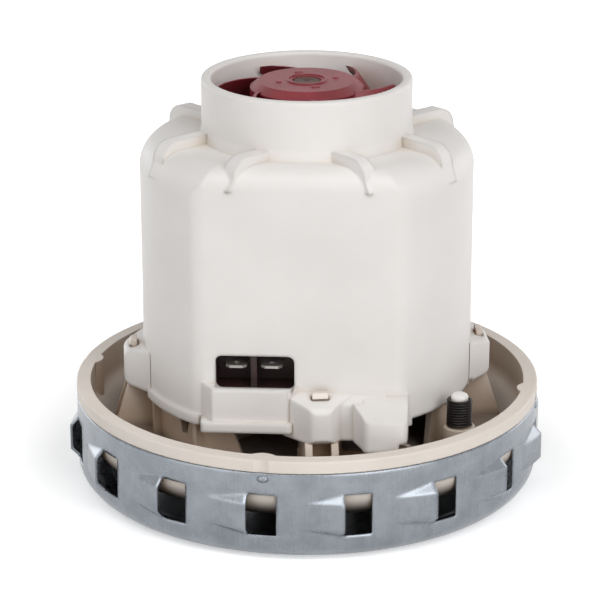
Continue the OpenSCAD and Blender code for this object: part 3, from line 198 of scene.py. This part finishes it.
def stacked_sheets():
    """Electrical steel sheet, stacked: dull blue-grey with a line at each sheet's edge."""
    material, tree, place = new_material("electrical_steel_stacked")
    # The sheets are 0.5 mm thick, drawn 1 mm apart so that they still show
    sheet_mm = 1
    sheets = add(tree, "ShaderNodeTexWave", {"Vector": place, "Scale": WAVE / (sheet_mm * MM),
                                             "Distortion": 0.4}, bands_direction="Z")
    relief = add(tree, "ShaderNodeBump", {"Height": sheets.outputs["Fac"], "Strength": 0.3,
                                          "Distance": 0.1 * MM})
    tone = add(tree, "ShaderNodeValToRGB", {"Fac": sheets.outputs["Fac"]}, ((0.1, "5c6066"), (0.5, "83888e")))
    shader = add(tree, "ShaderNodeBsdfPrincipled", {
        "Base Color": tone.outputs["Color"],
        "Roughness": 0.5,
        "Metallic": 0.9,
        "Normal": relief.outputs["Normal"]})
    add(tree, "ShaderNodeOutputMaterial", {"Surface": shader.outputs["BSDF"]})
    return material


def wound_copper():
    """Enamelled copper wire, wound: amber-brown lacquer over bright wire, in rows."""
    material, tree, place = new_material("enamelled_copper_wound")
    wire_mm = 0.6
    rows = add(tree, "ShaderNodeTexWave", {"Vector": place, "Scale": WAVE / (wire_mm * MM), "Distortion": 1.5,
                                           "Detail": 1.0}, bands_direction="Z")
    relief = add(tree, "ShaderNodeBump", {"Height": rows.outputs["Fac"], "Strength": 0.6,
                                          "Distance": 0.2 * MM})
    tone = add(tree, "ShaderNodeValToRGB", {"Fac": rows.outputs["Fac"]}, ((0.0, "4e1f0e"), (0.6, "a1552b")))
    shader = add(tree, "ShaderNodeBsdfPrincipled", {
        "Base Color": tone.outputs["Color"],
        "Roughness": 0.35,
        "Metallic": 0.6,
        "Normal": relief.outputs["Normal"]})
    add(tree, "ShaderNodeOutputMaterial", {"Surface": shader.outputs["BSDF"]})
    return material


finishes = {
    # Glass-filled polyester, moulded: warm white, satin, with a faint drift of tone and painted shade in its
    # corners
    "white_plastic": moulded("polyester_white_moulded", "e1ddda", "e8e5e2", rough=0.47, cloud_mm=34,
                             grain_mm=0.7, round_mm=1.5, corner_shade="cfc2b2", corner_shade_mm=7),
    # The same polyester in its natural colour, moulded: cream, a little rougher, with painted shade in its
    # corners and painted shade under the trough
    "cream_plastic": moulded("polyester_cream_moulded", "dfd5cb", "e8dfd6", rough=0.52, cloud_mm=26,
                             grain_mm=0.8, round_mm=0.6, corner_shade="a58b72", corner_shade_mm=30, shade_below_mm=(14.0, 21.5)),
    "zinc_steel": drawn_zinc(),
    # Polyamide, moulded: deep red with a dusty satin skin
    "red_plastic": moulded("polyamide_red_moulded", "6e141d", "82242d", rough=0.44, cloud_mm=12, grain_mm=0.5,
                           round_mm=0.4),
    # Phenolic, moulded: dark red-brown
    "dark_red_plastic": moulded("phenolic_dark_moulded", "221011", "301718", rough=0.5, cloud_mm=10,
                                grain_mm=0.5, round_mm=0.2),
    # Brass, tin plated: soft grey with a brushed stamping grain
    "tin_plated_brass": metal("brass_tin_plated", "a09c98", "b9b5b0", rough=0.5, patch_mm=4, scratch_mm=0.3,
                              metallic=0.6, stretch=(1, 0.15, 1)),
    # Spring wire, black oxide: near black with a dull sheen along the wire
    "black_spring_steel": metal("spring_wire_black_oxide", "191615", "2b2725", rough=0.34, patch_mm=2,
                                scratch_mm=0.2, metallic=0.7),
    # Spring wire, drawn bright: grey with a clear shine
    "spring_steel": metal("spring_wire_bright_drawn", "8d8e90", "b2b3b5", rough=0.28, patch_mm=3,
                          scratch_mm=0.2),
    "electrical_steel": stacked_sheets(),
    "enamelled_copper": wound_copper(),
    # Steel, turned and ground: fine rings round the axis
    "machined_steel": metal("steel_turned", "8f9194", "b5b7b9", rough=0.27, patch_mm=6, scratch_mm=0.25,
                            stretch=(0.1, 0.1, 1)),
    # Aluminium sheet, pressed: pale with rolling lines
    "aluminium_sheet": metal("aluminium_sheet_pressed", "a3a6a8", "bfc1c2", rough=0.34, patch_mm=10,
                             scratch_mm=0.4, stretch=(0.1, 1, 1)),
    # Brass tube, drawn: dull yellow with lines along the tube
    "brass": metal("brass_drawn", "9a7b3c", "b8995a", rough=0.3, patch_mm=6, scratch_mm=0.3,
                   stretch=(0.1, 1, 1)),
    # Phenolic, moulded: black with a satin skin
    "black_plastic": moulded("phenolic_black_moulded", "1b1b1c", "262627", rough=0.4, cloud_mm=12,
                             grain_mm=0.5, round_mm=0.2),
    # Carbon, pressed and ground: soft black with grey flecks
    "carbon": moulded("carbon_pressed_ground", "1e1e20", "343437", rough=0.55, cloud_mm=1.2, grain_mm=0.3,
                      round_mm=0.1),
    # Rubber, moulded: matt black
    "rubber": moulded("rubber_moulded", "141414", "1d1d1d", rough=0.7, cloud_mm=8, grain_mm=0.6,
                      round_mm=0.2),
    # Polyamide, natural, moulded: pale straw
    "nylon": moulded("polyamide_natural_moulded", "cfc4ad", "ddd4c0", rough=0.45, cloud_mm=8, grain_mm=0.5,
                     round_mm=0.1),
}

for part in frame["record"]["subparts"]:
    data = nodes[part["node"]].data
    data.materials.clear()
    data.materials.append(finishes[part["material_slot"]])


def piece(name, mesh, slot, body, finish=None):
    """Makes a new piece from a bmesh in the shared frame, with the body that it rides on and its slot's
    finish, or a finish of its own."""
    bmesh.ops.remove_doubles(mesh, verts=mesh.verts, dist=MERGE)
    bmesh.ops.recalc_face_normals(mesh, faces=mesh.faces)
    data = bpy.data.meshes.new(name)
    mesh.to_mesh(data)
    mesh.free()
    for polygon in data.polygons:
        polygon.use_smooth = True
    data.materials.append(finish or finishes[slot])
    thing = bpy.data.objects.new(name, data)
    bpy.context.scene.collection.objects.link(thing)
    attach(thing, body)
    return thing


def coil(radius, wire, height, turns):
    """Compression spring on z = 0: a closed turn at both ends and open turns between them."""
    mesh = bmesh.new()
    steps = 28
    closed = 1.08 * wire
    opened = (height - wire - 2 * closed) / (turns - 2)
    place = Matrix.Translation((radius, 0, wire / 2)) @ Matrix.Rotation(math.pi / 2, 4, "X")
    start = bmesh.ops.create_circle(mesh, cap_ends=True, segments=10, radius=wire / 2, matrix=place)
    face = start["verts"][0].link_faces[0]
    end = [face] + list(face.edges) + list(face.verts)
    for climb, count in ((closed, 1), (opened, turns - 2), (closed, 1)):
        swept = bmesh.ops.spin(mesh, geom=end, axis=(0, 0, 1), cent=(0, 0, 0), angle=2 * math.pi * count,
                               steps=steps * count, dvec=(0, 0, climb / steps), use_merge=False)
        end = swept["geom_last"]
    return mesh


# The springs have round wire and closed end turns in place of the solids' six-sided wire
contact_wire = 0.78 * MM
contact_turns = 10
low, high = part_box("contact_spring")
middle = (low + high) / 2
mesh = coil((high.x - low.x - contact_wire) / 2, contact_wire, high.z - low.z, contact_turns)
bmesh.ops.translate(mesh, verts=mesh.verts, vec=(middle.x, middle.y, low.z))
spring = piece("contact_spring_wire", mesh, "black_spring_steel", "frame")
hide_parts("contact_spring")

brush_wire = 0.6 * MM
brush_turns = 8
for side, turn in (("left", -math.pi / 2), ("right", math.pi / 2)):
    low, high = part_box("brush_spring_" + side)
    middle = (low + high) / 2
    mesh = coil((high.z - low.z - brush_wire) / 2, brush_wire, high.x - low.x, brush_turns)
    inner = max(low.x, -high.x)
    bmesh.ops.rotate(mesh, verts=mesh.verts, cent=(0, 0, 0), matrix=Matrix.Rotation(turn, 3, "Y"))
    bmesh.ops.translate(mesh, verts=mesh.verts, vec=(math.copysign(inner, turn), middle.y, middle.z))
    spring = piece("brush_spring_wire_" + side, mesh, "spring_steel", "frame")
    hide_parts("brush_spring_" + side)
    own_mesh(spring)

# Crimp dimples that hold the steel under the rim, flattened into its wall
dimple_n = 4
dimple_r = 1.4 * MM
dimple_flat = (1.3, 0.45, 0.8)
dimple_at = (0, -71.9 * MM, 26.2 * MM)
dimple_turn = -7
for k in range(dimple_n):
    turn = math.radians(dimple_turn + 360 / dimple_n * k)
    mesh = bmesh.new()
    bmesh.ops.create_uvsphere(mesh, u_segments=16, v_segments=10, radius=dimple_r)
    bmesh.ops.scale(mesh, verts=mesh.verts, vec=dimple_flat)
    bmesh.ops.translate(mesh, verts=mesh.verts, vec=dimple_at)
    bmesh.ops.rotate(mesh, verts=mesh.verts, cent=(0, 0, 0), matrix=Matrix.Rotation(turn, 3, "Z"))
    piece("crimp_dimple_%d" % k, mesh, "zinc_steel", "frame")

# The cooling fan's blades have rounded tips in place of the solid's sharp ones
fan_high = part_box("cooling_fan")[1]
fan_top = fan_high.z
blade_drop = 1.8 * MM
blade_top = fan_top - blade_drop
blade_tip = max(fan_high.x, fan_high.y)
tip_round = 2.8 * MM
# The solid's blades turn 42 degrees over their 14 mm
blade_twist = math.radians(42) / (14 * MM)
mesh = bmesh.new()
mesh.from_mesh(nodes["cooling_fan"].data)
bmesh.ops.remove_doubles(mesh, verts=mesh.verts, dist=MERGE)
for vert in mesh.verts:
    past = min(math.hypot(vert.co.x, vert.co.y) - (blade_tip - tip_round), tip_round)
    if past > 0:
        drop = vert.co.z - blade_top + tip_round - math.sqrt(tip_round ** 2 - past ** 2)
        if drop > 0:
            # A point that comes down stays on the twisted blade
            vert.co = Matrix.Rotation(-blade_twist * drop, 3, "Z") @ vert.co
            vert.co.z -= drop
fan = piece("cooling_fan_rounded", mesh, "red_plastic", "rotor")
# Its faces stay flat, as the solid's are, and the finish rounds their edges
fan.data.shade_flat()
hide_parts("cooling_fan")

# The shaft's turned end with its centre hole, nearly flush with the fan's hub
shaft_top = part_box("rotor_shaft")[1].z
end_sink = 0.55 * MM
end_top = fan_top - end_sink
end_r = 4.2 * MM
end_edge = 0.3 * MM
centre_r = 1.2 * MM
centre_deep = 0.8 * MM
profile = ((0, shaft_top), (end_r, shaft_top), (end_r, end_top - end_edge), (end_r - end_edge, end_top),
           (centre_r, end_top), (0, end_top - centre_deep))
mesh = bmesh.new()
corners = [mesh.verts.new((r, 0, z)) for r, z in profile]
edges = [mesh.edges.new(pair) for pair in zip(corners, corners[1:])]
bmesh.ops.spin(mesh, geom=corners + edges, axis=(0, 0, 1), cent=(0, 0, 0), angle=2 * math.pi, steps=40,
               use_merge=True)
# Steel, turned, browned by heat and dust: dark and nearly matt
browned = metal("steel_turned_browned", "38211a", "4d3229", rough=0.65, patch_mm=3, scratch_mm=0.3,
                metallic=0.2)
end = piece("rotor_shaft_end", mesh, "machined_steel", "rotor", browned)
end.data.set_sharp_from_angle(angle=math.radians(35))

# Four nubs round the embossed ring on the cooling fan's hub
nub_n = 4
nub_size = (2.6 * MM, 1.5 * MM, 0.8 * MM)
nub_edge = 0.3 * MM
nub_out = 8.9 * MM
nub_turn = 20
mesh = bmesh.new()
for k in range(nub_n):
    turn = math.radians(nub_turn + 360 / nub_n * k)
    nub = bmesh.ops.create_cube(mesh, size=1.0)["verts"]
    bmesh.ops.scale(mesh, verts=nub, vec=nub_size)
    edges = list({edge for vert in nub for edge in vert.link_edges})
    shape = bmesh.ops.bevel(mesh, geom=edges, offset=nub_edge, offset_type="OFFSET", affect="EDGES",
                            segments=2, profile=0.5, material=-1)
    nub = list({vert for face in shape["faces"] for vert in face.verts})
    bmesh.ops.translate(mesh, verts=nub, vec=(0, -nub_out, fan_top - nub_size[2] / 2))
    bmesh.ops.rotate(mesh, verts=nub, cent=(0, 0, 0), matrix=Matrix.Rotation(turn, 3, "Z"))
piece("cooling_fan_nubs", mesh, "red_plastic", "rotor")


def studio():
    """White floor that keeps the shadow, white surroundings, and large soft lamps."""
    floor_size = 6.0
    floor_gap = 0.2 * MM
    paper_mm = 250
    material, tree, place = new_material("studio_paper")
    cloud = add(tree, "ShaderNodeTexNoise", {"Vector": place, "Scale": 1 / (paper_mm * MM)})
    tone = add(tree, "ShaderNodeValToRGB", {"Fac": cloud.outputs["Fac"]}, ((0.3, "f2f2f2"), (0.7, "f5f5f5")))
    paper = add(tree, "ShaderNodeBsdfDiffuse", {"Color": tone.outputs["Color"]})
    # The paper is whiter away from the part, where the lamps fall off
    away = add(tree, "ShaderNodeVectorMath", {0: place}, operation="LENGTH")
    white = add(tree, "ShaderNodeMapRange", {"Value": away.outputs["Value"], "From Min": 0.08,
                                             "From Max": 0.2, "To Min": 0.42, "To Max": 1.0})
    glow = add(tree, "ShaderNodeEmission", {"Color": (1, 1, 1, 1), "Strength": white.outputs["Result"]})
    path = add(tree, "ShaderNodeLightPath")
    seen = add(tree, "ShaderNodeMath", {0: path.outputs["Is Camera Ray"], 1: path.outputs["Is Glossy Ray"]},
               operation="MAXIMUM")
    lit = add(tree, "ShaderNodeAddShader", {0: paper.outputs["BSDF"], 1: glow.outputs["Emission"]})
    mix = add(tree, "ShaderNodeMixShader", {0: seen.outputs["Value"], 1: paper.outputs["BSDF"],
                                            2: lit.outputs["Shader"]})
    add(tree, "ShaderNodeOutputMaterial", {"Surface": mix.outputs["Shader"]})
    mesh = bmesh.new()
    bmesh.ops.create_grid(mesh, x_segments=2, y_segments=2, size=floor_size)
    data = bpy.data.meshes.new("floor")
    mesh.to_mesh(data)
    mesh.free()
    data.materials.append(material)
    floor = bpy.data.objects.new("floor", data)
    bpy.context.scene.collection.objects.link(floor)
    floor.location.z = -floor_gap

    # White to the camera and in reflections, and dim as a light on the part
    world = bpy.data.worlds.new("studio")
    bpy.context.scene.world = world
    world.use_nodes = True
    tree = world.node_tree
    tree.nodes.clear()
    path = add(tree, "ShaderNodeLightPath")
    direct = add(tree, "ShaderNodeMath", {0: path.outputs["Is Camera Ray"],
                                          1: path.outputs["Is Transmission Ray"]}, operation="MAXIMUM")
    seen = add(tree, "ShaderNodeMath", {0: direct.outputs["Value"], 1: path.outputs["Is Glossy Ray"]},
               operation="MAXIMUM")
    level = add(tree, "ShaderNodeMapRange", {"Value": seen.outputs["Value"], "To Min": 0.1, "To Max": 1.0})
    sky = add(tree, "ShaderNodeBackground", {"Color": (1, 1, 1, 1), "Strength": level.outputs["Result"]})
    add(tree, "ShaderNodeOutputWorld", {"Surface": sky.outputs["Background"]})

    # Each lamp has its place and its width and height in metres, and its power in watts
    aim = Vector((0, 0, 0.05))
    for name, at, size, power in (("key", (0.8, -0.95, 0.73), (1.0, 1.0), 9.2),
                                  ("fill", (-0.95, -0.85, 0.65), (1.0, 1.0), 4.0),
                                  ("strip", (0.0, -0.66, 1.1), (1.6, 0.35), 6.3),
                                  ("back_left", (-1.05, 0.95, 0.35), (0.8, 0.6), 3.6),
                                  ("back_right", (1.05, 0.95, 0.35), (0.8, 0.6), 3.6)):
        data = bpy.data.lights.new(name, "AREA")
        data.shape = "RECTANGLE"
        data.size, data.size_y = size
        data.energy = power
        lamp = bpy.data.objects.new(name, data)
        bpy.context.scene.collection.objects.link(lamp)
        lamp.location = at
        lamp.rotation_euler = (aim - Vector(at)).to_track_quat("-Z", "Y").to_euler()


def photo_camera():
    """Camera at the photograph's viewing angle: 767 mm out from the shaft, a little right of the flat front,
    and looking down."""
    turn = math.radians(3.3)
    distance = 0.767
    height = 0.328
    pitch = 0.3407
    yaw = -0.0028
    roll = -0.0015
    focal_px = 2620
    image_px = 600
    data = bpy.data.cameras.new("camera")
    data.sensor_width = 36
    data.lens = data.sensor_width * focal_px / image_px
    data.clip_end = 50
    camera = bpy.data.objects.new("camera", data)
    bpy.context.scene.collection.objects.link(camera)
    stand = Matrix.Rotation(turn, 4, "Z") @ Matrix.Translation((0, -distance, height))
    look = Matrix.Rotation(-yaw, 4, "Z") @ Matrix.Rotation(math.pi / 2 - pitch, 4, "X")
    camera.matrix_world = stand @ look @ Matrix.Rotation(roll, 4, "Z")
    bpy.context.scene.camera = camera


studio()
photo_camera()
bpy.context.scene.view_settings.view_transform = "Standard"
